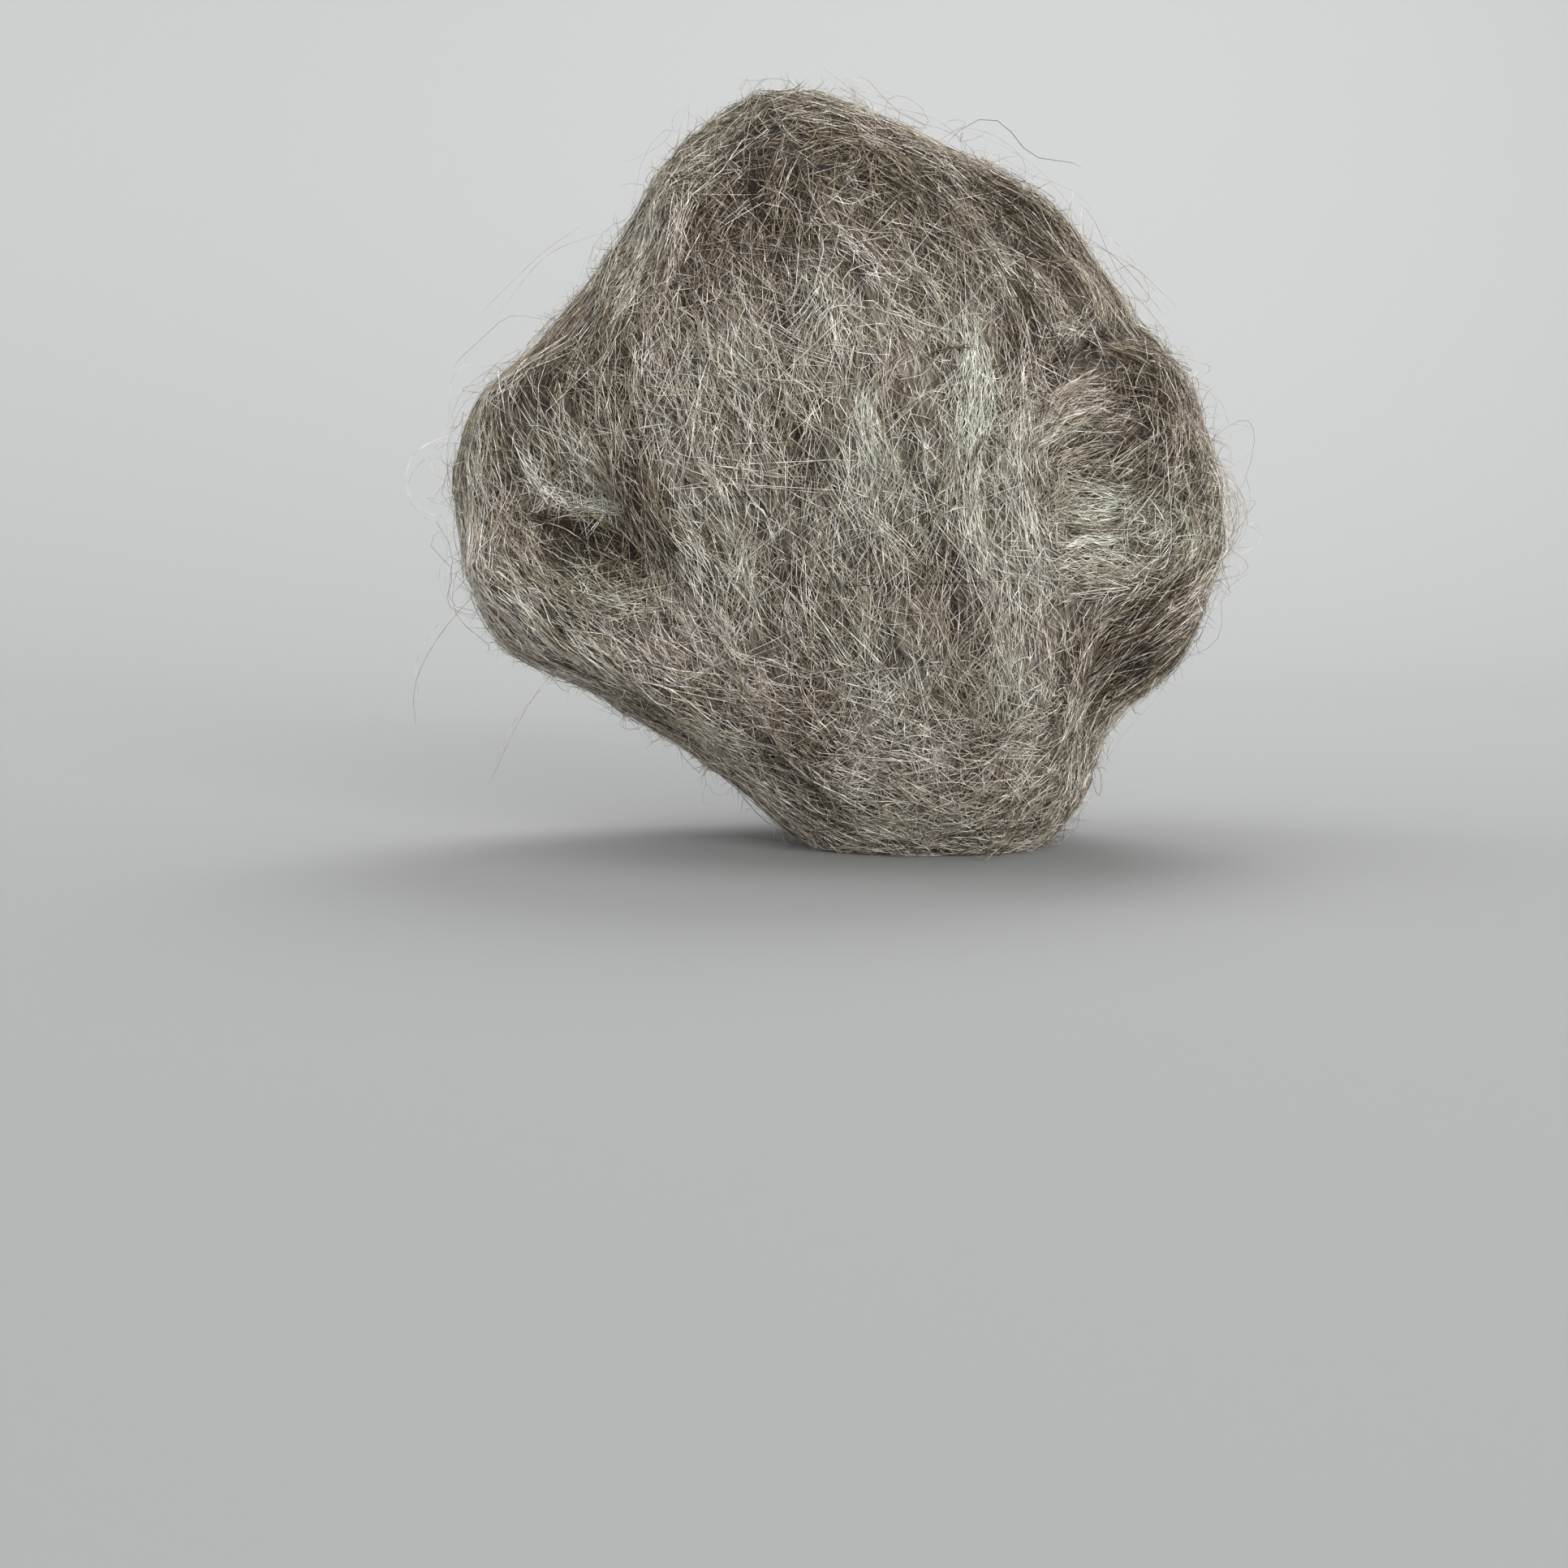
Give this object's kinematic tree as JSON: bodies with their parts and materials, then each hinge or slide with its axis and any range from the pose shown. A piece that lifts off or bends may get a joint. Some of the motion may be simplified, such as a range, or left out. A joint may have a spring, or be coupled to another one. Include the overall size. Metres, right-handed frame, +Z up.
{
  "type": "wool roving ball",
  "caption": "Hand-wound ball of carded, untwisted wool roving in a natural grey-brown, for felting, spinning or stuffing.",
  "frame": {"origin": "under the middle of the ball's box, on the plane of the small flat spot that it rests on", "axes": "+Z up from the flat spot, -Y towards the viewer who sees the last wrap run from crown to tip, +X to that viewer's right"},
  "size_m": [0.1196, 0.1056, 0.1185],
  "materials": {
    "carded_wool": "matt, fuzzy, loosely laid wool fibres"
  },
  "bodies": {
    "root": {"roving_ball": "carded_wool"}
  },
  "joints": []
}
